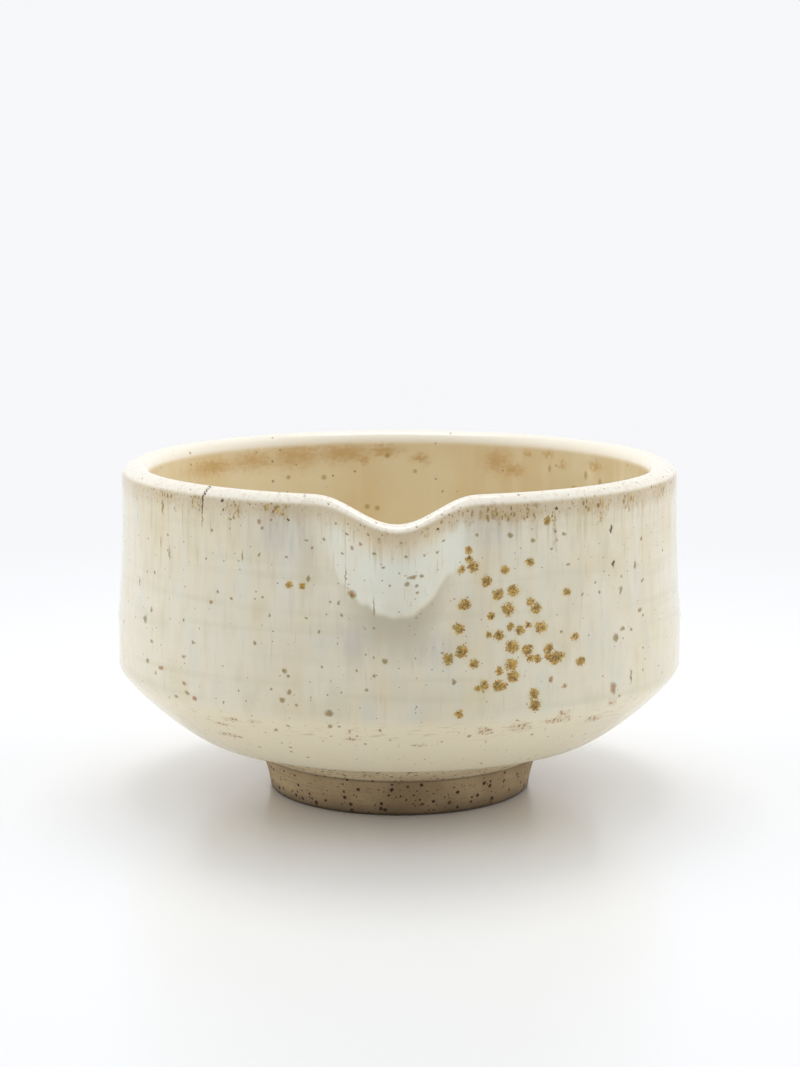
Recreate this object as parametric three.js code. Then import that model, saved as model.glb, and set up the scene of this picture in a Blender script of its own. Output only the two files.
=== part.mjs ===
// A pouring tea bowl in wheel-thrown stoneware: a body with a spout pulled out of its lip,
// a turned foot ring luted under it, and two coats of glaze.
// Millimetres, +Z up, the spout towards -Y. The origin lies at table height, in the middle
// of the bowl's length and width, so the wheel's axis stands a little behind it.

import * as THREE from "three";
import { mergeVertices } from "three/addons/utils/BufferGeometryUtils.js";

// Form of the glazed bowl. Heights are above the table unless a line says otherwise.
const HEIGHT = 73.4; // the crest of the lip
const RIM_RADIUS = 61.25; // outside of the lip, away from the spout
const LIP_THICKNESS = 6;
const BELLY_RADIUS = 62.5; // the upright belt round the belly, the widest part
const BELT_BOTTOM = 29.5;
const BELT_WIDTH = 10.5; // up the wall, from its lower edge to where the wall leans in
const BELT_EDGE = 2.4; // how far below the belt the shoulder starts to round into it
const WALL_THICKNESS = 5.5; // at the belt
const FLOOR_THICKNESS = 6.8; // clay and glaze, above the seat of the foot

// The turned foot ring
const FOOT_HEIGHT = 8.2;
const FOOT_SOLE_RADIUS = 28.6; // outer edge of the flat sole
const FOOT_SOLE_WIDTH = 4.6;
const FOOT_TOP_RADIUS = 31.4; // where its wall meets the body
const FOOT_TAPER_SHARE = 0.35; // share of the wall's spread that its straight lower part takes
const FOOT_TAPER_END = 0.7; // up the wall, where it starts to curve out to the body
const FOOT_BEVEL = 0.6; // trimmed off the sole's two edges
const FOOT_DRAFT = 1; // how much wider the recess is at the top than at the sole
const SEAT_LEDGE = 0.4; // how far the body's seat stands out past the foot
const RECESS_CROWN = 1.4; // how far the recess rises to its middle
const RECESS_DOME = 0.8; // share of that rise that is reached halfway out

// The bare underside between the foot and the glaze line
const GLAZE_LINE_RADIUS = 45.9;
const GLAZE_LINE_RISE = 5.8; // above the seat of the foot
const UNDERSIDE_ANGLE = THREE.MathUtils.degToRad(29);
const UNDERSIDE_RUN = 7.2; // how far the glazed underside keeps to that angle

// Glaze
const GLAZE_THICKNESS = 0.7;
const GLAZE_ROLL = 0.35; // how far the rolled edge of the outer coat stands out at its end
const BOND_CLEARANCE = 0.1; // between a coat and what it lies against

// The pulled spout
const SPOUT_REACH = 6.5; // how far the lip is drawn out
const SPOUT_DROP = 4.75; // how far its middle is pressed down
const SPOUT_HALF_WIDTH = 17.5; // of the pull, at the lip
const SPOUT_LENGTH = 36; // how far down the wall the throat runs
const NOTCH_HALF_WIDTH = 19; // of the dip in the lip

// Bends of the wall, each as a share of the height or radius that it runs over
const WALL_EASE = 0.25; // next to the belt or the lip, before the wall leans
const OUTER_LEAN_END = 0.5; // up the outer wall
const INNER_LEAN_START = 1 / 3; // up the inner wall
const HOLLOW_TURN = 0.12; // above the floor, where the inner wall turns in
const FLOOR_FLAT = 0.8; // out along the floor, where it starts to rise

// Facets
const TURN_STEPS = 54;
const FRONT_CROWDING = 0.6; // 0 spaces the steps evenly, near 1 draws them in at the spout
const LIP_STEPS = 4; // in each quarter turn of the lip
const WALL_STEPS = 8;
const CURVE_STEPS = 6;

const CLAY_COLOUR = "#a3906f";
const CREAM_COLOUR = "#e6dcc0";
const LINER_COLOUR = "#dcc795";

const seatHeight = FOOT_HEIGHT;
const lipRadius = LIP_THICKNESS / 2;
const beltTop = BELT_BOTTOM + BELT_WIDTH;
const recessRadius = FOOT_SOLE_RADIUS - FOOT_SOLE_WIDTH;

const point = (radius, height) => new THREE.Vector2(radius, height);

function curve(steps, ...controls) {
  return new THREE.CubicBezierCurve(...controls).getPoints(steps);
}

// Points on a quarter circle of the lip's section, from one angle to another.
function lipArc(from, to) {
  const centre = point(RIM_RADIUS - lipRadius, HEIGHT - lipRadius);
  return Array.from({ length: LIP_STEPS + 1 }, (_, step) => {
    const angle = THREE.MathUtils.lerp(from, to, step / LIP_STEPS);
    return point(
      centre.x + lipRadius * Math.cos(angle),
      centre.y + lipRadius * Math.sin(angle),
    );
  });
}

// One line from runs of points, where a run may start on the point that the last one ended on.
function joined(...runs) {
  return runs
    .flat()
    .filter((p, i, all) => i === 0 || p.distanceTo(all[i - 1]) > 1e-6);
}

// A line moved sideways into the wall. Its corners are mitred, and a point on the wheel's
// axis stays there.
function inset(line, depth) {
  return line.map((p, i) => {
    if (p.x === 0) return point(0, p.y - depth);
    const before = p.clone().sub(line[Math.max(i - 1, 0)]);
    const after = line[Math.min(i + 1, line.length - 1)].clone().sub(p);
    const tangents = [before, after].filter((t) => t.length() > 0);
    const normals = tangents.map((t) => point(-t.y, t.x).normalize());
    const middle = normals.reduce((sum, n) => sum.clone().add(n)).normalize();
    return p.clone().addScaledVector(middle, depth / middle.dot(normals[0]));
  });
}

// The glazed outside, from the glaze line up to the crest of the lip.
function outsideLine() {
  const glazeLine = point(GLAZE_LINE_RADIUS, seatHeight + GLAZE_LINE_RISE);
  const shoulder = point(BELLY_RADIUS, BELT_BOTTOM);
  const underside = curve(
    CURVE_STEPS,
    glazeLine,
    point(
      glazeLine.x + UNDERSIDE_RUN * Math.cos(UNDERSIDE_ANGLE),
      glazeLine.y + UNDERSIDE_RUN * Math.sin(UNDERSIDE_ANGLE),
    ),
    point(BELLY_RADIUS, BELT_BOTTOM - BELT_EDGE),
    shoulder,
  );
  const lipHeight = HEIGHT - lipRadius;
  const wallHeight = lipHeight - beltTop;
  const wall = curve(
    WALL_STEPS,
    point(BELLY_RADIUS, beltTop),
    point((BELLY_RADIUS + RIM_RADIUS) / 2, beltTop + WALL_EASE * wallHeight),
    point(RIM_RADIUS, beltTop + OUTER_LEAN_END * wallHeight),
    point(RIM_RADIUS, lipHeight),
  );
  return joined(underside, wall, lipArc(0, Math.PI / 2));
}

// The glazed inside, from the crest of the lip down to the middle of the floor.
function insideLine() {
  const inner = BELLY_RADIUS - WALL_THICKNESS;
  const lipInner = RIM_RADIUS - LIP_THICKNESS;
  const lipHeight = HEIGHT - lipRadius;
  const wallHeight = lipHeight - beltTop;
  const floor = seatHeight + FLOOR_THICKNESS;
  const wall = curve(
    WALL_STEPS,
    point(lipInner, lipHeight),
    point(lipInner, lipHeight - WALL_EASE * wallHeight),
    point(inner, beltTop + INNER_LEAN_START * wallHeight),
    point(inner, beltTop),
  );
  const hollow = curve(
    CURVE_STEPS + 2,
    point(inner, beltTop),
    point(inner, THREE.MathUtils.lerp(floor, beltTop, HOLLOW_TURN)),
    point(FLOOR_FLAT * inner, floor),
    point(0, floor),
  );
  return joined(lipArc(Math.PI / 2, Math.PI), wall, hollow);
}

// The pull: a thumb draws the lip out and down, and the throat below it fades into the wall.
function pulled(x, y, z) {
  if (y > 0) return [x, y, z];
  const below = (HEIGHT - z) / SPOUT_LENGTH;
  const reach = Math.max(0, 1 - (x / SPOUT_HALF_WIDTH) ** 2 - below ** 2) ** 2;
  const notch = Math.max(0, 1 - (x / NOTCH_HALF_WIDTH) ** 2) ** 3;
  const drop = notch * Math.max(0, 1 - below) ** 2;
  return [x, y - SPOUT_REACH * reach, z - SPOUT_DROP * drop];
}

// A closed outline turned on the wheel, and then pulled. Every face is split along the
// diagonal that climbs the same way round the bowl, so a coat lies even with its clay.
function thrown(name, outline, material) {
  const turned = new THREE.LatheGeometry(outline, TURN_STEPS);
  turned.deleteAttribute("normal");
  turned.deleteAttribute("uv");
  const place = turned.getAttribute("position");
  for (let i = 0; i < place.count; i += 1) {
    const radius = Math.hypot(place.getX(i), place.getZ(i));
    const even = Math.atan2(place.getX(i), place.getZ(i));
    const turn = even - FRONT_CROWDING * Math.sin(even);
    place.setXYZ(
      i,
      ...pulled(radius * Math.sin(turn), -radius * Math.cos(turn), place.getY(i)),
    );
  }
  const rows = outline.length;
  const faces = [];
  for (let column = 0; column < TURN_STEPS; column += 1) {
    for (let row = 0; row < rows - 1; row += 1) {
      const a = column * rows + row;
      const b = a + rows;
      const c = b + 1;
      const d = a + 1;
      const rises = outline[row + 1].y > outline[row].y;
      if (outline[row].x === 0) faces.push(a, c, d);
      else if (outline[row + 1].x === 0) faces.push(a, b, c);
      else faces.push(...(rises ? [a, b, d, b, c, d] : [a, b, c, a, c, d]));
    }
  }
  turned.setIndex(faces);
  const geometry = mergeVertices(turned, 1e-4);
  geometry.computeVertexNormals();
  const mesh = new THREE.Mesh(geometry, material);
  mesh.name = name;
  return mesh;
}

function glaze(colour) {
  return new THREE.MeshStandardMaterial({ color: colour, roughness: 0.22, metalness: 0 });
}

function bareClay() {
  return new THREE.MeshStandardMaterial({
    color: CLAY_COLOUR,
    roughness: 0.85,
    metalness: 0,
  });
}

// The body: its recess, seat and bare underside, then the clay under both coats.
function stonewareBody(clayLine) {
  const recessTop = recessRadius + FOOT_DRAFT;
  const outline = joined(
    [
      point(0, seatHeight + RECESS_CROWN),
      point(recessTop / 2, seatHeight + RECESS_DOME * RECESS_CROWN),
      point(recessTop, seatHeight),
      point(FOOT_TOP_RADIUS + SEAT_LEDGE, seatHeight),
    ],
    clayLine,
  );
  return thrown("stoneware_body", outline, bareClay());
}

// The foot: a ring with a flat sole, a wall that spreads up to the body and a drafted recess.
function footRing() {
  const wallFoot = FOOT_SOLE_RADIUS + FOOT_BEVEL;
  const wall = new THREE.QuadraticBezierCurve(
    point(wallFoot, FOOT_BEVEL),
    point(
      THREE.MathUtils.lerp(wallFoot, FOOT_TOP_RADIUS, FOOT_TAPER_SHARE),
      FOOT_TAPER_END * FOOT_HEIGHT,
    ),
    point(FOOT_TOP_RADIUS, FOOT_HEIGHT),
  ).getPoints(CURVE_STEPS);
  const sole = point(recessRadius + FOOT_BEVEL, 0);
  const outline = [
    sole,
    point(FOOT_SOLE_RADIUS, 0),
    ...wall,
    point(recessRadius + FOOT_DRAFT, FOOT_HEIGHT),
    point(recessRadius, FOOT_BEVEL),
    sole,
  ];
  return thrown("foot_ring", outline, bareClay());
}

// The outer coat: dipped from the lip down, with a rolled edge where it was wiped back.
function outsideGlaze(surface, bed) {
  const end = surface[0].clone().add(bed[0]).divideScalar(2);
  const away = surface[0].clone().sub(surface[1]).normalize();
  const roll = end.addScaledVector(away, GLAZE_ROLL);
  const outline = [roll, ...surface, ...bed.toReversed(), roll];
  return thrown("outside_glaze", outline, glaze(CREAM_COLOUR));
}

// The liner coat: poured in, swirled over the whole hollow and up to the crest of the lip.
function insideGlaze(surface, bed) {
  const outline = [...bed.toReversed(), ...surface];
  return thrown("inside_glaze", outline, glaze(LINER_COLOUR));
}

// The two coats meet on the crest, and each is held back from it by half their clearance.
function heldBack(line, crest, side) {
  const edge = point(line[crest].x + (side * BOND_CLEARANCE) / 2, line[crest].y);
  return side > 0 ? [...line.slice(0, crest), edge] : [edge, ...line.slice(crest + 1)];
}

function teaBowl() {
  const outside = outsideLine();
  const crest = outside.length - 1;
  const surface = joined(outside, insideLine());
  const bed = inset(surface, GLAZE_THICKNESS);
  const clayLine = inset(surface, GLAZE_THICKNESS + BOND_CLEARANCE);
  const bowl = new THREE.Group();
  bowl.add(
    stonewareBody(clayLine),
    footRing(),
    outsideGlaze(heldBack(surface, crest, 1), heldBack(bed, crest, 1)),
    insideGlaze(heldBack(surface, crest, -1), heldBack(bed, crest, -1)),
  );
  bowl.position.y = (RIM_RADIUS + SPOUT_REACH - BELLY_RADIUS) / 2;
  return bowl;
}

export default teaBowl();
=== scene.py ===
import math

import bmesh
import bpy
from mathutils import Matrix, Vector
from mathutils.geometry import interpolate_bezier


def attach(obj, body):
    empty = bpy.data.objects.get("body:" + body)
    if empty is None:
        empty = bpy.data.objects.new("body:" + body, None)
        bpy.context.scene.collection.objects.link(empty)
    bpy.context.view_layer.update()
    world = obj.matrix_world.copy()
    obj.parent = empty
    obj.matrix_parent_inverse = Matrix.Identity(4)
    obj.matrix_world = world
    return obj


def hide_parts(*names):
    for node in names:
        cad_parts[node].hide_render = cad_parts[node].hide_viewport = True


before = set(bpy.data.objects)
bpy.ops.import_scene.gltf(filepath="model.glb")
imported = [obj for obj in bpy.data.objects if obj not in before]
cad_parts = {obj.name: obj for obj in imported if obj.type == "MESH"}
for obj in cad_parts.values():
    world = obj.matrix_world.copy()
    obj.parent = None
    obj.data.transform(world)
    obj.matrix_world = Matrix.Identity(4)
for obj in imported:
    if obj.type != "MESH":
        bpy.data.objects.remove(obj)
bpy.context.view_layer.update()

# Camera. It stands half a metre from the middle of the bowl, in front of the spout and a little
# above the lip, and looks slightly down, as the photograph was taken.
CAMERA_PLACE = (0.0001, -0.5174, 0.13805)
CAMERA_TILT = 0.155  # radians below level
CAMERA_LENS = 79.66  # mm
CAMERA_FRAME = 36  # mm high

lens = bpy.data.cameras.new("front_camera")
lens.sensor_fit = "VERTICAL"
lens.sensor_height = CAMERA_FRAME
lens.lens = CAMERA_LENS
camera = bpy.data.objects.new("front_camera", lens)
camera.location = CAMERA_PLACE
camera.rotation_euler = (math.pi / 2 - CAMERA_TILT, 0, 0)
bpy.context.scene.collection.objects.link(camera)
bpy.context.scene.camera = camera
bpy.context.scene.view_settings.view_transform = "Standard"

# The body: iron-bearing stoneware thrown on a wheel, with an upright belt left round its belly
# and a spout pulled out of the lip while wet. Both glazes cover it but for the turned underside.
AXIS_SETBACK = 0.002625  # the spout moves the middle of the bowl's box forward of its axis
WHEEL_AXIS = Vector((0, AXIS_SETBACK, 0))
LIP_HEIGHT = 0.0734
LIP_RADIUS = 0.06125
LIP_WIDTH = 0.006
BELT_RADIUS = 0.0625
BELT_FOOT = 0.0295
BELT_TOP = 0.04
WALL = 0.0055
SEAT_HEIGHT = 0.0082
FLOOR_HEIGHT = 0.015
SEAT_RADIUS = 0.0318
SEAT_CORNER = 0.0003
RECESS_RADIUS = 0.025
RECESS_HEIGHT = 0.0096
RECESS_DOMING = 0.0014
RECESS_ROWS = 28
RECESS_SPACING = 0.0009
GLAZE_LINE = Vector((0.0459, 0, 0.014))
UNDERSIDE_SLOPE = math.radians(29)
GLAZE_THICKNESS = 0.0007
BOND = 0.0001  # between a coat and the clay
LIP_STEP = math.pi / 32  # between the points round the lip
COLUMNS = 360  # round the bowl
WEDGES = 10  # equal parts of it that are spun at a time
CORNER_ANGLE = math.radians(50)  # an edge that bends more is rounded where rounding is asked
CREASE_ANGLE = math.radians(40)  # one that bends more is shaded as a crease

SWELLS = ((2, 0.00014, 0.7), (3, 0.00009, -1.1))  # waves round the wall, height, start
SPIRAL_WAVES = 7
SPIRAL_SWELL = 0.00004
SPIRAL_RISE = 0.0035
RING_DEPTH = 0.00003
RING_RISE = 0.00098
RIDGES = ((BELT_TOP, 0.0002), (0.0284, 0.00012))  # a ridge's height on the wall, and its own
RIDGE_WIDTH = 0.0007

SPOUT_REACH = 0.0065
SPOUT_DROP = 0.00475
SPOUT_LENGTH = 0.036
SPOUT_LEFT = 0.0174  # its half widths: the thumb pulled a little further round on the left
SPOUT_RIGHT = 0.017
SPOUT_SHIFT = -0.0005


def section(radius, height):
    """A point of the section that the wheel turns."""
    return Vector((radius, 0, height))


def rows(step_count, start, end):
    """Even steps along a straight run of the section, without its last point."""
    return [start.lerp(end, step / step_count) for step in range(step_count)]


def outer_face():
    """The glazed outside, from the glaze line up to the crest of the lip."""
    into_belt = section(BELT_RADIUS, BELT_FOOT)
    along = section(math.cos(UNDERSIDE_SLOPE), math.sin(UNDERSIDE_SLOPE))
    underside = interpolate_bezier(
        GLAZE_LINE, GLAZE_LINE + 0.0072 * along, section(BELT_RADIUS, 0.0271), into_belt, 36
    )
    out_of_belt = section(BELT_RADIUS, BELT_TOP)
    under_lip = section(LIP_RADIUS, LIP_HEIGHT - LIP_WIDTH / 2)
    wall = interpolate_bezier(
        out_of_belt, section(0.06188, 0.0476), section(LIP_RADIUS, 0.0552), under_lip, 40
    )
    lip = [lip_point(step * LIP_STEP) for step in range(1, 17)]
    return underside[:-1] + rows(14, into_belt, out_of_belt) + wall + lip


def lip_point(angle, tuck=0.0):
    """A point on the round of the lip, from 0 outside over the crest to pi inside."""
    centre = section(LIP_RADIUS - LIP_WIDTH / 2, LIP_HEIGHT - LIP_WIDTH / 2)
    return centre + (LIP_WIDTH / 2 - tuck) * section(math.cos(angle), math.sin(angle))


def inner_face():
    """The glazed inside, from just past the crest of the lip down to the middle of the floor."""
    inner_radius = BELT_RADIUS - WALL
    lip = [lip_point(step * LIP_STEP) for step in range(17, 33)]
    wall = interpolate_bezier(
        lip[-1], section(0.05525, 0.0628), section(inner_radius, 0.0501),
        section(inner_radius, BELT_TOP), 24,
    )
    hollow = interpolate_bezier(
        wall[-1], section(inner_radius, 0.018), section(0.0456, FLOOR_HEIGHT),
        section(0, FLOOR_HEIGHT), 48,
    )
    return lip + wall[1:] + hollow[1:]


def inset(line, depth):
    """The line moved into the wall, with its corners mitred. The axis keeps its point."""
    moved = []
    for i, here in enumerate(line):
        before = here - line[max(i - 1, 0)]
        after = line[min(i + 1, len(line) - 1)] - here
        sides = [Vector((-t.z, 0, t.x)).normalized() for t in (before, after) if t.length > 0]
        middle = sum(sides, Vector()).normalized()
        moved.append(here + middle * (depth / middle.dot(sides[0])))
        if here.x == 0:
            moved[-1] = section(0, here.z - depth)
    return moved


def hand_made(place, thrown_height):
    """Where a point of the true turned form lies in the real bowl: rings that the fingers left,
    a wall that is never quite round, and the pulled spout."""
    turn = math.atan2(place.x, -place.y)
    rise = max(0.0, min(1.0, (thrown_height - SEAT_HEIGHT) / (LIP_HEIGHT - SEAT_HEIGHT)))
    swell = sum(high * math.sin(waves * turn + start) for waves, high, start in SWELLS)
    swell += SPIRAL_SWELL * math.sin(SPIRAL_WAVES * turn + thrown_height / SPIRAL_RISE)
    finger_path = thrown_height / RING_RISE + turn + 0.8 * math.sin(2 * turn)
    rings = RING_DEPTH * math.sin(finger_path)
    for belt_edge, ridge in RIDGES:
        rings += ridge * math.exp(-(((thrown_height - belt_edge) / RIDGE_WIDTH) ** 2))
    grown = 1 + rise * (swell + rings) / BELT_RADIUS
    x, y, z = place.x * grown, place.y * grown, place.z
    if y < 0:
        across = x - SPOUT_SHIFT
        aside = abs(across) / (SPOUT_LEFT if across < 0 else SPOUT_RIGHT)
        below = (LIP_HEIGHT - z) / SPOUT_LENGTH
        reach = max(0.0, 1 - aside**2 - below**2) ** 2
        notch = max(0.0, 1 - aside**2) ** 3
        y -= SPOUT_REACH * reach
        z -= SPOUT_DROP * notch * max(0.0, 1 - below) ** 2
    return Vector((x, y, z)) + WHEEL_AXIS


def turned(name, outline, closed, rounding=0.0):
    """A section spun on the wheel and then shaped by hand. Each point keeps the height that it
    was thrown at, so that a finish can follow the lip through the spout."""
    shape = bmesh.new()
    heights = shape.verts.layers.float.new("thrown_height")
    ring = [shape.verts.new(p) for p in outline]
    for vert in ring:
        vert[heights] = vert.co.z
    pairs = list(zip(ring, ring[1:])) + ([(ring[-1], ring[0])] if closed else [])
    lines = [shape.edges.new(pair) for pair in pairs]
    bmesh.ops.spin(
        shape, geom=ring + lines, cent=(0, 0, 0), axis=(0, 0, 1),
        angle=math.tau / WEDGES, steps=COLUMNS // WEDGES,
    )
    wedge = shape.verts[:] + shape.edges[:] + shape.faces[:]
    for turn in range(1, WEDGES):
        copy = bmesh.ops.duplicate(shape, geom=wedge)["geom"]
        bmesh.ops.rotate(
            shape, verts=[part for part in copy if isinstance(part, bmesh.types.BMVert)],
            cent=(0, 0, 0), matrix=Matrix.Rotation(turn * math.tau / WEDGES, 3, "Z"),
        )
    bmesh.ops.remove_doubles(shape, verts=shape.verts, dist=1e-7)
    bmesh.ops.recalc_face_normals(shape, faces=shape.faces)
    if rounding:
        corners = [e for e in shape.edges if e.calc_face_angle(0) > CORNER_ANGLE]
        bmesh.ops.bevel(
            shape, geom=corners, offset=rounding, affect="EDGES", segments=4, profile=0.5,
            material=-1,
        )
    for vert in shape.verts:
        vert.co = hand_made(vert.co, vert[heights])
    for face in shape.faces:
        face.smooth = True
    for edge in shape.edges:
        edge.smooth = edge.calc_face_angle(0) < CREASE_ANGLE
    mesh = bpy.data.meshes.new(name)
    shape.to_mesh(mesh)
    shape.free()
    piece = bpy.data.objects.new(name, mesh)
    bpy.context.scene.collection.objects.link(piece)
    return piece


glazed_face = outer_face() + inner_face()
clay_face = inset(glazed_face, GLAZE_THICKNESS + BOND)
hidden_clay = clay_face[:-1:3] + clay_face[-1:]
recess = [
    section(RECESS_SPACING * row, RECESS_HEIGHT - RECESS_DOMING * (row / RECESS_ROWS) ** 2)
    for row in range(RECESS_ROWS)
]
seat = [section(RECESS_RADIUS, SEAT_HEIGHT), section(SEAT_RADIUS - SEAT_CORNER, SEAT_HEIGHT)]
seat_edge = section(SEAT_RADIUS, SEAT_HEIGHT + SEAT_CORNER)
bare_underside = rows(12, seat_edge, clay_face[0])
body = turned("thrown_body", recess + seat + bare_underside + hidden_clay, closed=False)


def placed(tree, kind, sockets=(), **settings):
    """One node of a finish, with its settings and what goes into its sockets."""
    node = tree.nodes.new("ShaderNode" + kind)
    for name, value in settings.items():
        setattr(node, name, value)
    for socket, value in dict(sockets).items():
        if isinstance(value, bpy.types.NodeSocket):
            tree.links.new(value, node.inputs[socket])
        else:
            node.inputs[socket].default_value = value
    return node


def reckon(tree, operation, *values):
    """Arithmetic on numbers."""
    return placed(tree, "Math", enumerate(values), operation=operation).outputs[0]


def times(tree, product, *others):
    for other in others:
        product = reckon(tree, "MULTIPLY", product, other)
    return product


def vector(tree, operation, *values):
    """Arithmetic on vectors."""
    return placed(tree, "VectorMath", enumerate(values), operation=operation).outputs[0]


def length(tree, value):
    return placed(tree, "VectorMath", {0: value}, operation="LENGTH").outputs["Value"]


def noise(tree, place, scale, detail=2.0):
    sockets = {"Vector": place, "Scale": scale, "Detail": detail}
    return placed(tree, "TexNoise", sockets).outputs


def eased(tree, value, start, end, low=0.0, high=1.0):
    """Goes smoothly from low to high as the value goes from start to end."""
    sockets = {0: value, 1: start, 2: end, 3: low, 4: high}
    return placed(tree, "MapRange", sockets, interpolation_type="SMOOTHSTEP").outputs[0]


def mixed(tree, share, first, second):
    """A colour between two others: the first where the share is 0, the second where it is 1."""
    return placed(tree, "Mix", {0: share, 6: first, 7: second}, data_type="RGBA").outputs[2]


def paint(red, green, blue):
    """A colour as it looks, in 0 to 255, made linear for the shader."""
    parts = [part / 255 for part in (red, green, blue)]
    return [((p + 0.055) / 1.055) ** 2.4 if p > 0.04 else p / 12.92 for p in parts] + [1.0]


def effect(name, takes, gives):
    """An empty node group with its sockets, for an effect that several finishes share."""
    tree = bpy.data.node_groups.new(name, "ShaderNodeTree")
    for way, sockets in (("INPUT", takes), ("OUTPUT", gives)):
        for label, kind in sockets.items():
            tree.interface.new_socket(label, in_out=way, socket_type="NodeSocket" + kind)
    return tree, tree.nodes.new("NodeGroupInput").outputs, tree.nodes.new("NodeGroupOutput").inputs


# Round the wheel: a point's direction from the axis, carried out to the belly, and its thrown
# height. Patterns in it run straight up the wall and in towards the foot, with no join. All
# the lengths in the finishes are millimetres.
MILLIMETRES = 1000.0  # in a metre
PATTERN_RADIUS = 62.0

wheel_round, taken, given = effect(
    "wheel_round", {"Place": "Vector", "Height": "Float"}, {"Round": "Vector"}
)
level = vector(wheel_round, "MULTIPLY", taken["Place"], (1, 1, 0))
outward = vector(wheel_round, "NORMALIZE", level)
carried = placed(
    wheel_round, "VectorMath", {0: outward, 3: PATTERN_RADIUS}, operation="SCALE"
).outputs[0]
upward = placed(wheel_round, "CombineXYZ", {2: taken["Height"]}).outputs[0]
wheel_round.links.new(vector(wheel_round, "ADD", carried, upward), given["Round"])

# Streaks: uneven patches as wide and as long as a finish asks.
streaks, taken, given = effect(
    "streaks",
    {"Round": "Vector", "Width": "Float", "Length": "Float", "Detail": "Float"},
    {"Amount": "Float"},
)
per_width = reckon(streaks, "DIVIDE", 1.0, taken["Width"])
per_length = reckon(streaks, "DIVIDE", 1.0, taken["Length"])
stretch = placed(streaks, "CombineXYZ", {0: per_width, 1: per_width, 2: per_length}).outputs[0]
stretched = vector(streaks, "MULTIPLY", taken["Round"], stretch)
streaks.links.new(noise(streaks, stretched, 1.0, taken["Detail"])["Fac"], given["Amount"])


def streak(tree, round_, wide, long, detail=2.0):
    sockets = {"Round": round_, "Width": wide, "Length": long, "Detail": detail}
    return placed(tree, "Group", sockets, node_tree=streaks).outputs[0]


# Iron specks: grains of iron in the clay that burn through to the surface. Each has a chance
# of its own, from 0 to 1, by which a finish can colour it.
iron_specks, taken, given = effect(
    "iron_specks",
    {"Place": "Vector", "Spacing": "Float", "Size": "Float", "Share": "Float"},
    {"Speck": "Float", "Chance": "Float"},
)
ragged = noise(iron_specks, taken["Place"], 2.2)["Color"]
shaken = vector(iron_specks, "MULTIPLY_ADD", ragged, (0.5, 0.5, 0.5), taken["Place"])
cells = placed(
    iron_specks, "TexVoronoi",
    {"Vector": shaken, "Scale": reckon(iron_specks, "DIVIDE", 1.0, taken["Spacing"])},
)
away = times(iron_specks, cells.outputs["Distance"], taken["Spacing"])
chances = placed(iron_specks, "SeparateXYZ", {0: cells.outputs["Color"]}).outputs
present = reckon(iron_specks, "LESS_THAN", chances[0], taken["Share"])
reach = times(
    iron_specks, taken["Size"], reckon(iron_specks, "MULTIPLY_ADD", chances[1], 0.8, 0.5)
)
inside = eased(iron_specks, reckon(iron_specks, "DIVIDE", away, reach), 1.15, 0.75)
iron_specks.links.new(times(iron_specks, inside, present), given["Speck"])
iron_specks.links.new(chances[2], given["Chance"])


def specks(tree, place, spacing, size, share):
    sockets = {"Place": place, "Spacing": spacing, "Size": size, "Share": share}
    return placed(tree, "Group", sockets, node_tree=iron_specks).outputs


def emptied(owner):
    """The node tree of a new material or world, with nothing in it."""
    owner.use_nodes = True
    owner.node_tree.nodes.clear()
    return owner.node_tree


def new_finish(name):
    """An empty material, its tree, and a point's place in millimetres from the wheel's axis."""
    material = bpy.data.materials.new(name)
    tree = emptied(material)
    where = placed(tree, "TexCoord").outputs["Object"]
    from_axis = (0, -MILLIMETRES * AXIS_SETBACK, 0)
    place = placed(
        tree, "Mapping", {0: where, "Location": from_axis, "Scale": (MILLIMETRES,) * 3}
    ).outputs[0]
    return material, tree, place


def thrown_place(tree, place, height):
    sockets = {"Place": place, "Height": height}
    return placed(tree, "Group", sockets, node_tree=wheel_round).outputs[0]


def surfaced(tree, colour, roughness, bumps, gloss=0.5):
    """The surface of a finish. Its bumps are in millimetres."""
    sockets = {"Height": bumps, "Distance": 1 / MILLIMETRES, "Strength": 1.0}
    relief = placed(tree, "Bump", sockets).outputs[0]
    surface = placed(
        tree, "BsdfPrincipled",
        {"Base Color": colour, "Roughness": roughness, "Normal": relief,
         "Specular IOR Level": gloss},
    )
    tree.links.new(surface.outputs[0], placed(tree, "OutputMaterial").inputs[0])


JOINT_HEIGHT = 8.25  # of the dark line between the seat and the foot
# The body and the foot are one clay. The body's tones are painted lighter, as painted light from
# the table below the bowl, and the foot's tones are painted darker, as painted shade over the foot.
CLAY = paint(229, 212, 176)
CLAY_DARK = paint(198, 176, 140)
FOOT_CLAY_SHADED = paint(189, 166, 128)
FOOT_DARK_CLAY_SHADED = paint(134, 110, 80)
IRON = paint(58, 40, 27)
RED_IRON = paint(108, 72, 42)


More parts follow.
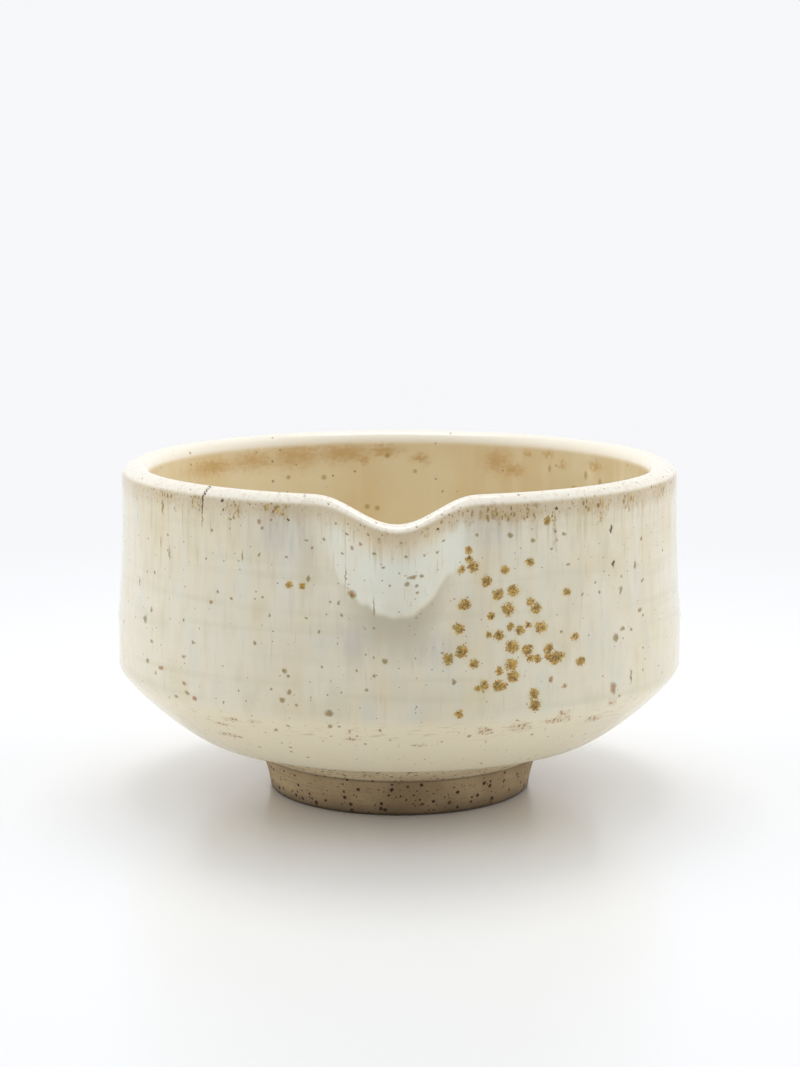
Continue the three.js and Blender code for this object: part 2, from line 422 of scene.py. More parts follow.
def bare_clay(name, light, dark, sole_painted_shade):
    """Unglazed stoneware: matt, with fine turning lines, a sandy grain and iron specks."""
    material, tree, place = new_finish(name)
    height = placed(tree, "SeparateXYZ", {0: place}).outputs[2]
    round_ = thrown_place(tree, place, height)
    sand = noise(tree, place, 2.6, 4.0)["Fac"]
    cloud = noise(tree, place, 0.11)["Fac"]
    lines = streak(tree, round_, 30.0, 0.35)
    colour = mixed(tree, eased(tree, cloud, 0.35, 0.68, 0.1, 0.55), light, dark)
    colour = mixed(tree, eased(tree, sand, 0.5, 0.72, 0.0, 0.35), colour, dark)
    colour = mixed(tree, eased(tree, lines, 0.5, 0.75, 0.0, 0.3), colour, dark)
    # Painted shade: the clay darkens towards the sole, and most in its lowest millimetre, for the
    # contact shadow under the foot.
    colour = mixed(tree, eased(tree, height, 3.6, 0.2, 0.0, sole_painted_shade), colour, IRON)
    colour = mixed(tree, eased(tree, height, 1.0, 0.3, 0.0, sole_painted_shade), colour, IRON)
    from_joint = reckon(tree, "ABSOLUTE", reckon(tree, "SUBTRACT", height, JOINT_HEIGHT))
    colour = mixed(tree, eased(tree, from_joint, 0.5, 0.1, 0.0, 0.45), colour, IRON)
    grains = specks(tree, place, spacing=1.5, size=0.4, share=0.66)
    dust = specks(tree, place, spacing=0.9, size=0.18, share=0.6)
    rust = mixed(tree, eased(tree, grains["Chance"], 0.4, 0.9), IRON, RED_IRON)
    colour = mixed(tree, grains["Speck"], colour, rust)
    colour = mixed(tree, times(tree, dust["Speck"], 0.8), colour, IRON)
    depth = reckon(tree, "MULTIPLY_ADD", sand, 0.05, times(tree, lines, 0.07))
    pitted = reckon(tree, "MULTIPLY_ADD", grains["Speck"], -0.04, depth)
    surfaced(tree, colour, eased(tree, sand, 0.3, 0.7, 0.78, 0.95), pitted)
    return material


body.data.materials.append(bare_clay("bare_stoneware", CLAY, CLAY_DARK, sole_painted_shade=0.0))
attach(body, "root")
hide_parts("stoneware_body")

# The foot: a ring of the same clay, luted under the seat and turned with a flared wall, a flat
# sole and an open recess. Its corners are wiped round with a wet sponge.
SOLE_INSIDE = 0.024
SOLE_OUTSIDE = 0.029
FOOT_TOP_RADIUS = 0.0314
SPONGED_CORNER = 0.0006

foot_wall = interpolate_bezier(
    section(SOLE_OUTSIDE, 0), section(0.0295, 0.0036), section(0.0304, 0.0064),
    section(FOOT_TOP_RADIUS, SEAT_HEIGHT), 16,
)
foot_outline = [section(SOLE_INSIDE, 0)] + foot_wall + [section(RECESS_RADIUS, SEAT_HEIGHT)]
foot = turned("turned_foot", foot_outline, closed=True, rounding=SPONGED_CORNER)
foot.data.materials.append(bare_clay("foot_stoneware", FOOT_CLAY_SHADED, FOOT_DARK_CLAY_SHADED, sole_painted_shade=0.6))
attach(foot, "root")
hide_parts("foot_ring")

# The outer coat: a cream glaze dipped from the lip down and wiped back from the foot. It runs in
# streaks, breaks tan at the lip, pools white in the throat and flowers in ochre iron crystals.
CREAM = paint(233, 224, 200)
WARM = paint(229, 214, 180)
MILK = paint(232, 228, 213)
ROSE = paint(220, 201, 178)
OLIVE = paint(207, 200, 164)
SKY = paint(216, 217, 203)
TAN = paint(190, 161, 113)
VEIL_TAN = paint(198, 177, 142)
PAINTED_SHADE_GREY = paint(199, 195, 183)
LIP_CREAM_AND_HIGHLIGHT = paint(252, 245, 230)
GOLD = paint(212, 178, 98)
OCHRE = paint(190, 143, 57)
BROWN = paint(116, 78, 34)
RUST = paint(74, 43, 22)
HALO = paint(224, 208, 162)
SLOPE_CREAM_AND_PAINTED_LIGHT = paint(241, 229, 198)
SMEAR_TAN = paint(192, 151, 104)
POOL_WHITE = paint(233, 234, 219)
POOL_SHADE = paint(192, 182, 158)
DOT_OLIVE = paint(146, 126, 54)
LIP_IRON = paint(158, 126, 64)
DOT_TAN = paint(174, 114, 54)

# The marks on the front stand where they were seen in the photograph, in round numbers. First
# the crystals: millimetres to the right of the wheel's axis, height, and radius.
CRYSTALS = (
    (12.2, 59.3, 0.7), (14.6, 59.5, 1.0), (17.2, 56.5, 1.0), (19.6, 53.7, 1.0), (22.6, 54.2, 1.1),
    (21.0, 58.5, 0.8), (26.0, 59.7, 0.8), (26.1, 51.8, 0.8), (27.3, 50.3, 1.0), (12.8, 52.0, 1.1),
    (21.6, 50.6, 1.2), (18.2, 49.4, 0.7), (11.8, 47.3, 1.1), (22.2, 47.1, 0.7), (24.1, 46.2, 0.8),
    (25.7, 47.0, 0.7), (28.4, 46.4, 1.1), (17.8, 45.7, 0.6), (19.8, 45.4, 1.0), (12.4, 42.7, 1.2),
    (9.6, 41.2, 1.0), (14.8, 40.0, 0.9), (22.5, 43.0, 1.2), (25.5, 42.0, 1.1), (26.2, 40.4, 0.7),
    (27.6, 40.3, 0.8), (30.0, 42.0, 0.9), (30.0, 40.6, 0.8), (31.3, 39.9, 1.2), (32.6, 40.3, 0.7),
    (22.3, 39.4, 1.2), (22.7, 37.0, 1.1), (20.0, 38.3, 0.8), (16.8, 35.5, 1.0), (15.4, 35.0, 0.6),
    (19.7, 35.3, 1.1), (21.0, 35.2, 0.6), (27.0, 33.0, 1.0), (27.3, 30.7, 1.1), (33.7, 53.0, 0.7),
    (35.5, 43.7, 0.7), (36.8, 38.5, 0.9), (11.9, 30.0, 0.8), (13.7, 62.9, 0.7), (29.5, 68.0, 0.7),
    (-22.1, 55.4, 0.7), (-19.3, 55.4, 0.65), (13.8, 61.0, 0.75),
)
# Small olive and tan dots, the same way. A fourth number is half the length of a drawn-out one.
DOTS = (
    (-52, 39.4, 0.4), (-53, 34.8, 0.4), (-49.7, 34.3, 0.5), (-42.2, 41.3, 0.4), (-44.5, 38, 0.4),
    (-44.4, 32.5, 0.5), (-43.7, 30.6, 0.5), (-42, 29.7, 0.5), (-46.3, 29.3, 0.4), (-23, 38, 0.5),
    (-23.5, 32, 0.6), (-22, 33.8, 0.5), (-20.5, 31.3, 0.4), (-26, 49, 0.4), (-29, 43.2, 0.4),
    (-38.3, 50.3, 0.4), (-34, 67.7, 0.3), (-33.2, 68.1, 0.3), (-28, 67.7, 0.5), (-6.2, 69.5, 0.3),
    (-3.9, 69.4, 0.3), (0.4, 69.2, 0.3), (-10.3, 67.5, 0.3), (-7.8, 66.5, 0.35), (-5, 65.5, 0.3),
    (1.3, 65.5, 0.35), (8.3, 70.6, 0.35), (8.6, 66.4, 0.35), (1.5, 58.6, 0.6), (14, 24.5, 0.4),
    (-14, 27, 0.4), (-38, 65, 0.3), (-28, 61, 0.3), (-15, 65, 0.3), (-18.5, 64.5, 0.3),
    (-22.5, 61, 0.25), (-37, 52.5, 0.3), (-34, 51.5, 0.3), (-18.5, 49, 0.3), (-12, 52.5, 0.3),
    (-11.5, 50, 0.3), (-16, 46.5, 0.3), (-24, 71, 0.3), (-12.5, 69, 0.3), (-3, 41, 0.6),
    (-8.5, 39, 0.3), (-5, 38, 0.35), (-6.5, 35, 0.3), (-11.5, 34.5, 0.3), (-10, 26, 0.3),
    (-4, 26.5, 0.35), (-22.5, 26.5, 0.3), (-25, 25, 0.3), (-14, 30, 0.9, 0.6), (-18, 57, 0.3, 0.8),
    (-47.5, 59, 0.16, 1.4), (-31.5, 60.5, 0.16, 1.3), (-49.5, 60.5, 0.14, 1.1),
    (-49, 68, 0.25, 1.3), (-53.5, 43.5, 0.35, 0.7), (-52, 46, 0.3, 0.6), (-55, 51, 0.2, 0.9),
    (10.8, 36.6, 0.5),
    (21.9, 65.4, 0.6), (26.6, 64.1, 0.5), (29.5, 67.5, 0.6), (33, 64.8, 0.35), (34, 58.5, 0.3),
    (37, 52, 0.25), (40, 54, 0.3), (48.8, 56, 0.3, 0.8), (50.2, 61.2, 0.35), (50.6, 52.5, 0.4),
    (45.5, 51.5, 0.4, 0.8), (50, 46.5, 0.4), (46, 43.5, 0.4), (48, 43, 0.3), (44.5, 42, 0.6, 0.9),
    (32.5, 45, 0.35), (30.5, 35.5, 0.45, 0.7), (33.5, 34, 0.5), (48, 33, 0.2, 1.6),
    (44, 31.5, 0.7, 1.1), (45.5, 29.5, 0.3), (-10.6, 58.7, 0.1, 2.2), (-5, 52.9, 0.15, 2.4),
    (-9.4, 54.9, 0.85), (2.6, 60.1, 0.9, 0.5), (15.3, 65.7, 0.4), (4.4, 59.9, 0.4, 0.5),
    (3.5, 56.3, 0.4), (-3.3, 62.7, 0.35), (-9.2, 65, 0.35, 0.5), (-11.3, 63.2, 0.3),
    (7.5, 64.5, 0.35),
)
# Broad runs of iron under the lip: right of the axis, height, half width and half length.
RUNS = (
    (17.6, 70.2, 1.6, 1.6), (21.6, 69.6, 1.9, 1.5), (25.8, 69.9, 2.0, 1.7), (37.6, 70.6, 1.3, 2.2),
    (40.4, 69.3, 1.5, 2.4), (55.4, 71, 1.2, 1.6), (31, 66, 0.5, 4.5), (-48.3, 71, 2.4, 1.6),
    (-24.7, 70.6, 3.2, 1.2), (-41.3, 70.8, 1.0, 2.0), (-33.5, 70, 1.6, 1.4), (47, 70.4, 1.4, 1.8),
)
# Grey painted shade beside the throat and under the pool, the same way.
GREY_PAINTED_SHADES = ((-23.5, 66, 6.5, 5.0), (17.5, 67, 4.5, 4.0), (-9, 45, 3.5, 4.0), (6, 43, 6.0, 3.0))
# Faint tan marks that lie along the slope above the glaze line.
SMEARS = (
    (-34.6, 26.2, 1.8, 0.5), (-29.5, 26.6, 1.2, 0.5), (-36.7, 24.3, 1.6, 0.4),
    (-35, 21.3, 2.2, 0.5), (24.3, 25.8, 2.0, 0.9), (32, 26.5, 2.6, 0.7), (17.2, 25.6, 1.3, 0.9),
    (40, 25, 1.6, 0.8), (-10, 24, 1.2, 0.4), (4, 22.5, 1.4, 0.4), (33.5, 28, 1.1, 0.7),
    (44, 28.5, 0.8, 1.0),
)
# A hairline crack that runs down from the lip on the left, as seven short lengths, and dark pits.
PITS = (
    (-38.6, 73.3, 0.16, 0.4), (-39, 72.8, 0.15, 0.4), (-39.4, 72.2, 0.15, 0.5),
    (-39.7, 71.4, 0.14, 0.7), (-39.9, 70.4, 0.13, 0.9), (-40, 69, 0.11, 1.2),
    (-40, 67, 0.08, 1.6), (-35.6, 71.2, 0.3, 0.4), (-35.5, 69.2, 0.2, 0.35), (-22, 68.6, 0.25),
    (31.5, 70, 0.3), (43.2, 64.5, 0.25, 0.9), (43.8, 57.3, 0.25, 0.8), (-14, 72.3, 0.2),
    (7.5, 69.5, 0.25), (-9.4, 54.8, 0.3),
)
POOL_BOTTOM = 49.2
# How far each lobe's edge climbs between two distances to the right of the spout's middle.
POOL_LOBES = (
    (-1.0, -4.5, 0.6), (-4.4, -6.8, 2.2), (-7.6, -10.6, 2.6), (-11.0, -13.8, 5.5),
    (0.0, 3.5, 0.7), (2.4, 5.4, 1.7), (4.5, 12.5, 6.5),
)
SPOUT_MIDDLE = -0.5
SLOPE_MARKS_HEIGHT = 25.6
DUSTS = ((1.7, 0.3, 0.16), (1.1, 0.17, 0.22))  # spacing, size, and the share of places filled
FAR_OFF = 9.0  # spot radii: further than any spot shows

# One spot: how near a point is to it, in spot radii, beside the nearest spot so far.
spot, taken, given = effect(
    "spot",
    {"Place": "Vector", "Drift": "Vector", "Centre": "Vector", "Span": "Vector",
     "Nearest": "Float", "Core": "Float"},
    {"Nearest": "Float", "Core": "Float"},
)
offset = vector(spot, "SUBTRACT", taken["Place"], taken["Centre"])
measured = vector(spot, "DIVIDE", offset, taken["Span"])
distance = length(spot, measured)
to_core = length(spot, vector(spot, "ADD", measured, taken["Drift"]))
spot.links.new(reckon(spot, "MINIMUM", distance, taken["Nearest"]), given["Nearest"])
spot.links.new(reckon(spot, "MINIMUM", to_core, taken["Core"]), given["Core"])


def spots(tree, place, marks, drift=(0, 0, 0)):
    """The distances to the nearest of many spots and to its dark core, in spot radii."""
    nearest, core = FAR_OFF, FAR_OFF
    for mark in marks:
        across, height, width = mark[:3]
        sockets = {
            "Place": place, "Drift": drift, "Centre": (across, 0, height),
            "Span": (width, 1, mark[-1]), "Nearest": nearest, "Core": core,
        }
        nearest, core = placed(tree, "Group", sockets, node_tree=spot).outputs
    return nearest, core


def dipped_glaze(name):
    """The outer coat's finish."""
    material, tree, place = new_finish(name)
    thrown = placed(tree, "Attribute", attribute_name="thrown_height").outputs["Fac"]
    height = times(tree, thrown, MILLIMETRES)
    axes = placed(tree, "SeparateXYZ", {0: place}).outputs
    front = eased(tree, axes[1], 0.0, -6.0)
    behind = reckon(tree, "SUBTRACT", 1.0, front)
    round_ = thrown_place(tree, place, height)
    flat_place = placed(tree, "CombineXYZ", {0: axes[0], 2: height}).outputs[0]
    broad = streak(tree, round_, 8.0, 30.0)
    narrow = streak(tree, round_, 1.5, 12.0, 3.0)
    thread = streak(tree, round_, 0.42, 7.0)
    cloud = streak(tree, round_, 20.0, 18.0)
    haze = streak(tree, round_, 6.0, 13.0, 3.0)

    # The ground drifts from cream to warmer, olive, rosy and bluish tones, under milky veils.
    colour = mixed(tree, eased(tree, cloud, 0.38, 0.66, 0.0, 0.85), CREAM, WARM)
    colour = mixed(tree, eased(tree, haze, 0.5, 0.75, 0.0, 0.4), colour, OLIVE)
    colour = mixed(tree, eased(tree, haze, 0.5, 0.28, 0.0, 0.45), colour, SKY)
    high = eased(tree, height, 30.0, 60.0, 0.2, 0.7)
    veil = times(tree, eased(tree, broad, 0.44, 0.72), high)
    colour = mixed(tree, veil, colour, MILK)
    softened = eased(tree, height, 30.0, 50.0, 0.5, 1.0)
    rosy = times(tree, eased(tree, narrow, 0.5, 0.72, 0.0, 0.32), softened)
    colour = mixed(tree, rosy, colour, ROSE)
    colour = mixed(tree, eased(tree, narrow, 0.46, 0.3, 0.0, 0.16), colour, MILK)
    lap = streak(tree, round_, 40.0, 2.6)
    colour = mixed(tree, eased(tree, lap, 0.5, 0.72, 0.0, 0.22), colour, OLIVE)
    # The slope below the belt is a yellower cream. It is also painted paler, as painted light
    # thrown up from the table below it.
    sloping = eased(tree, height, 30.0, 26.5, 0.0, 0.8)
    colour = mixed(tree, sloping, colour, SLOPE_CREAM_AND_PAINTED_LIGHT)

    # The pool: thick white glaze that ran down the throat in a few lobes, each shorter than the
    # one beside it, so its lower edge climbs in steps on the left and in a slope on the right.
    wander = streak(tree, round_, 4.0, 30.0, 1.0)
    across = reckon(tree, "MULTIPLY_ADD", wander, 2.0, reckon(tree, "SUBTRACT", axes[0], 1.0))
    lower_edge = reckon(tree, "MULTIPLY_ADD", wander, 3.0, POOL_BOTTOM)
    for start, end, climb in POOL_LOBES:
        step_up = eased(tree, across, start, end, 0.0, climb)
        lower_edge = reckon(tree, "ADD", lower_edge, step_up)
    above_edge = reckon(tree, "SUBTRACT", height, lower_edge)
    bowed = times(tree, axes[0], axes[0], -0.03)
    below_lip = eased(tree, reckon(tree, "ADD", height, bowed), 68.0, 62.0)
    from_middle = reckon(tree, "ABSOLUTE", reckon(tree, "ADD", axes[0], -SPOUT_MIDDLE))
    pool = times(tree, eased(tree, above_edge, -1.1, 1.7), front, below_lip)
    pool = times(tree, pool, eased(tree, from_middle, 18.0, 10.5))
    throat = times(tree, eased(tree, from_middle, 15.0, 7.0), front)
    under_lip = times(tree, reckon(tree, "SUBTRACT", 1.0, below_lip), throat)
    colour = mixed(tree, times(tree, under_lip, 0.6), colour, WARM)
    whiteness = times(tree, pool, eased(tree, haze, 0.3, 0.62, 0.35, 0.85))
    colour = mixed(tree, whiteness, colour, POOL_WHITE)
    # Painted shade: under the pool's lower edge and the bulge of the throat, the glaze is darkened
    # to grey-brown.
    beside = eased(tree, from_middle, 15.0, 3.0)
    under = times(tree, eased(tree, above_edge, -13.0, -1.0), beside)
    shade = times(tree, eased(tree, above_edge, 0.8, -0.8), under, front, 0.9)
    colour = mixed(tree, shade, colour, POOL_SHADE)

    # Grey painted shade on both sides of the throat and under the pool, for the shade beside and
    # under the spout's bulge.
    painted_shade_near, _ = spots(tree, flat_place, GREY_PAINTED_SHADES)
    grey = times(tree, eased(tree, painted_shade_near, 1.7, 0.2, 0.0, 0.6), front)
    grey = times(tree, grey, eased(tree, narrow, 0.3, 0.62, 0.4, 1.0))
    colour = mixed(tree, grey, colour, PAINTED_SHADE_GREY)

    # Grains: the parts that crystals are made of, each with its own chance. All the marks are
    # looked up at a shaken place, which leaves their outlines ragged.
    grains = placed(tree, "TexVoronoi", {"Vector": place, "Scale": 3.3})
    chance = placed(tree, "SeparateXYZ", {0: grains.outputs["Color"]}).outputs
    grain = chance[0]
    bent = noise(tree, place, 0.9, 3.0)["Color"]
    centred = vector(tree, "SUBTRACT", bent, (0.5, 0.5, 0.5))
    shaken = vector(tree, "MULTIPLY_ADD", centred, (1.2, 0, 1.2), flat_place)
    mottle = noise(tree, place, 1.1, 3.0)["Fac"]

    # Where the glaze draws off the lip it breaks to tan, and fine drips of it run down the wall.
    upper = eased(tree, height, 27.6, 29.0)
    drip = streak(tree, round_, 0.8, 700.0, 3.0)
    reach_down = reckon(tree, "MULTIPLY_ADD", eased(tree, drip, 0.5, 0.75), 8.0, height)
    breaking = eased(tree, reach_down, 65.5, 72.4, 0.0, 0.42)
    colour = mixed(tree, breaking, colour, VEIL_TAN)
    near_lip = times(tree, eased(tree, height, 50.0, 71.0, 0.4, 0.9), upper)
    dashes = times(tree, eased(tree, thread, 0.63, 0.76, 0.0, 0.6), near_lip)
    colour = mixed(tree, dashes, colour, TAN)
    run_near, _ = spots(tree, shaken, RUNS)
    patchy = reckon(tree, "MULTIPLY_ADD", mottle, 3.0, run_near)
    runs = times(tree, eased(tree, patchy, 3.0, 1.7, 0.0, 0.7), front)
    colour = mixed(tree, times(tree, runs, 0.55), colour, TAN)
    drawn_out = vector(tree, "MULTIPLY", place, (1.0, 1.0, 0.6))
    iron = specks(tree, drawn_out, spacing=0.62, size=0.34, share=0.62)
    grain_paint = mixed(tree, eased(tree, iron["Chance"], 0.05, 0.4), GOLD, LIP_IRON)
    grain_paint = mixed(tree, eased(tree, iron["Chance"], 0.7, 0.9, 0.0, 0.8), grain_paint, BROWN)
    grainy = times(tree, runs, 1.5, iron["Speck"])
    colour = mixed(tree, grainy, colour, grain_paint)

    # Fine grains gather where the glaze starts to thin, most of them to the right of the spout.
    ragged_height = reckon(tree, "MULTIPLY_ADD", narrow, 5.0, height)
    band = eased(tree, ragged_height, 69.8, 72.4)
    band = times(tree, band, eased(tree, axes[0], 2.0, 16.0, 0.5, 1.0))
    band = times(tree, band, eased(tree, broad, 0.36, 0.6, 0.4, 1.0))
    colour = mixed(tree, times(tree, band, 0.5), colour, TAN)
    clumps = times(tree, band, eased(tree, mottle, 0.44, 0.56, 0.0, 0.85))
    colour = mixed(tree, times(tree, clumps, iron["Speck"]), colour, grain_paint)

    # The crest is pale, partly its own pale glaze and partly a painted highlight along the top of
    # the lip. Pits and one hairline crack show dark in it.
    crest = eased(tree, height, 71.2, 72.2, 0.0, 0.94)
    lip_paint = mixed(tree, eased(tree, mottle, 0.48, 0.68, 0.0, 0.4), LIP_CREAM_AND_HIGHLIGHT, ROSE)
    lip_paint = mixed(tree, eased(tree, height, 72.4, 71.2, 0.0, 0.5), lip_paint, WARM)
    colour = mixed(tree, crest, colour, lip_paint)
    pit_near, _ = spots(tree, shaken, PITS)
    pit = times(tree, eased(tree, pit_near, 1.3, 0.7, 0.0, 0.88), front)
    colour = mixed(tree, pit, colour, RUST)

    # Tan marks that the wheel's turning drew out along the slope, just under its break.
    smear_near, _ = spots(tree, shaken, SMEARS)
    smear = times(tree, eased(tree, smear_near, 1.6, 0.5, 0.0, 0.9), front)
    drawn = streak(tree, round_, 3.0, 0.5)
    from_marks = reckon(tree, "ABSOLUTE", reckon(tree, "SUBTRACT", height, SLOPE_MARKS_HEIGHT))
    on_slope = eased(tree, from_marks, 3.4, 1.0)
    marks = times(tree, eased(tree, drawn, 0.57, 0.72, 0.0, 0.35), on_slope)
    marks = reckon(tree, "MULTIPLY_ADD", smear, 0.3, marks)
    colour = mixed(tree, marks, colour, SMEAR_TAN)
    smear_paint = mixed(tree, eased(tree, iron["Chance"], 0.3, 0.7), DOT_TAN, LIP_IRON)
    colour = mixed(tree, times(tree, smear, iron["Speck"]), colour, smear_paint)

    # Iron crystals: clusters of gold and brown grains in a pale halo. Each has a dark core, which
    # has drifted some way off its middle.
    swirl = noise(tree, place, 0.3)["Color"]
    drift = vector(tree, "MULTIPLY_ADD", swirl, (3.0, 0, 3.0), (-1.5, 0, -1.5))
    near, core = spots(tree, shaken, CRYSTALS, drift)
    cluster = reckon(tree, "MULTIPLY_ADD", grain, 0.5, near)
    crystal = times(tree, eased(tree, cluster, 1.45, 1.15), front)
    ochre = mixed(tree, eased(tree, chance[1], 0.2, 0.7), GOLD, OCHRE)
    ochre = mixed(tree, eased(tree, chance[2], 0.62, 0.8, 0.0, 0.7), ochre, BROWN)
    dot_tone = noise(tree, place, 0.35)["Fac"]
    ochre = mixed(tree, eased(tree, dot_tone, 0.48, 0.62, 0.0, 0.4), ochre, DOT_OLIVE)
    kernel = times(tree, eased(tree, core, 0.7, 0.2, 0.0, 1.0), grain)
    ochre = mixed(tree, kernel, ochre, RUST)
    halo = times(tree, eased(tree, near, 2.0, 1.0, 0.0, 0.4), front)
    colour = mixed(tree, halo, colour, HALO)
    colour = mixed(tree, times(tree, crystal, 0.92), colour, ochre)

    # Single dots, olive or tan.
    dot_near, _ = spots(tree, shaken, DOTS)
    dot = times(tree, eased(tree, dot_near, 1.4, 0.5, 0.0, 0.75), front)
    dot_paint = mixed(tree, eased(tree, dot_tone, 0.5, 0.62), DOT_OLIVE, DOT_TAN)
    dot_paint = mixed(tree, eased(tree, chance[1], 0.6, 0.9, 0.0, 0.6), dot_paint, BROWN)
    colour = mixed(tree, dot, colour, dot_paint)

    # Round the back the same iron shows as loose drifts of crystals, and as fine dust all over.
    drift_cloud = noise(tree, round_, 0.045)["Fac"]
    drifts = times(tree, eased(tree, drift_cloud, 0.5, 0.6), behind)
    far_spots = specks(tree, place, spacing=2.6, size=0.9, share=0.34)
    far = times(tree, far_spots["Speck"], drifts)
    colour = mixed(tree, times(tree, far, 0.9), colour, ochre)
    for spacing, size, share in DUSTS:
        dust = specks(tree, place, spacing, size, share)
        tone = mixed(tree, dust["Chance"], DOT_OLIVE, BROWN)
        colour = mixed(tree, times(tree, dust["Speck"], 0.65), colour, tone)
    lip_dust = specks(tree, place, spacing=1.1, size=0.2, share=0.3)
    lip_specks = times(tree, lip_dust["Speck"], eased(tree, height, 67.5, 71.5))
    colour = mixed(tree, times(tree, lip_specks, 0.55), colour, BROWN)

    # The glass ripples, the pool and the crystals stand proud, and the iron is duller.
    bumps = times(tree, noise(tree, round_, 0.22)["Fac"], 0.10)
    for part, proud in ((pool, 0.12), (crystal, 0.03), (narrow, 0.04)):
        bumps = reckon(tree, "MULTIPLY_ADD", part, proud, bumps)
    roughness = eased(tree, narrow, 0.3, 0.7, 0.1, 0.2)
    roughness = reckon(tree, "MULTIPLY_ADD", crystal, 0.25, roughness)
    dull = reckon(tree, "MAXIMUM", pit, reckon(tree, "MAXIMUM", dot, crystal))
    surfaced(tree, colour, roughness, bumps, eased(tree, dull, 0.0, 1.0, 0.5, 0.2))
    return material


# Each coat ends one step past the crest, tucked just under the other one.
CREST_TUCK = 0.000005
ROLL_STEPS = 6
ROLL_REACH = 0.00035

glaze_face = outer_face()
whole_bed = inset(glazed_face, GLAZE_THICKNESS)
glaze_bed = whole_bed[: len(glaze_face)]
roll_middle = (glaze_face[0] + glaze_bed[0]) / 2
roll_out = (glaze_face[0] - glaze_face[1]).normalized()
roll_side = (glaze_face[0] - glaze_bed[0]) / 2
roll = []
for step in range(1, ROLL_STEPS):
    angle = step * math.pi / ROLL_STEPS
    roll.append(roll_middle - roll_side * math.cos(angle) + roll_out * ROLL_REACH * math.sin(angle))
crest_end = [lip_point(17 * LIP_STEP, tuck=CREST_TUCK), glaze_bed[-1]]
coat_outline = roll + glaze_face + crest_end + glaze_bed[-2::-4] + glaze_bed[:1]
coat = turned("outer_glaze_coat", coat_outline, closed=True)
coat.data.materials.append(dipped_glaze("cream_running_glaze"))
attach(coat, "root")
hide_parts("outside_glaze")

# The liner coat: the same glaze poured in and swirled over the hollow. It lies thinner and
# warmer over the clay, with ochre patches where it drew off the lip.
LINER = paint(244, 232, 202)
LINER_PALE = paint(245, 237, 214)
LINER_DEEP = paint(237, 219, 181)
LINER_OCHRE = paint(202, 161, 94)
LINER_PAINTED_SHADE = paint(204, 188, 150)
LINER_OLIVE = paint(176, 146, 84)
LINER_IRON = paint(146, 106, 58)

# Ochre patches under the far lip: right of the axis, height, half width and half height.
PATCHES = (
    (-44, 67.4, 5.0, 1.6), (-35, 67.8, 6.0, 2.0), (-25, 68.2, 6.5, 2.8), (-14, 68.4, 7.0, 2.2),
    (-4, 68.8, 4.0, 1.3), (-9, 66.6, 1.4, 1.0), (23.5, 66.8, 2.8, 2.5), (27.5, 65, 2.0, 1.6),
    (31, 69.0, 0.8, 0.7), (35.5, 69.4, 0.9, 0.7), (39, 67.2, 0.8, 0.8), (46, 68.0, 1.4, 1.0),
    (5.2, 66.8, 1.9, 1.1),
)
# Soft olive dots on the far wall inside.
LINER_DOTS = (
    (-27, 63, 0.5), (-18.5, 62.5, 0.6), (-8, 54.8, 0.6), (-5.5, 54.4, 0.6), (-3, 67.5, 0.6),
    (3.8, 63.6, 0.5), (36, 66, 0.3, 0.8), (41.5, 62, 0.5), (44, 65.5, 0.35, 1.0),
    (47, 64, 0.3, 1.2),
)


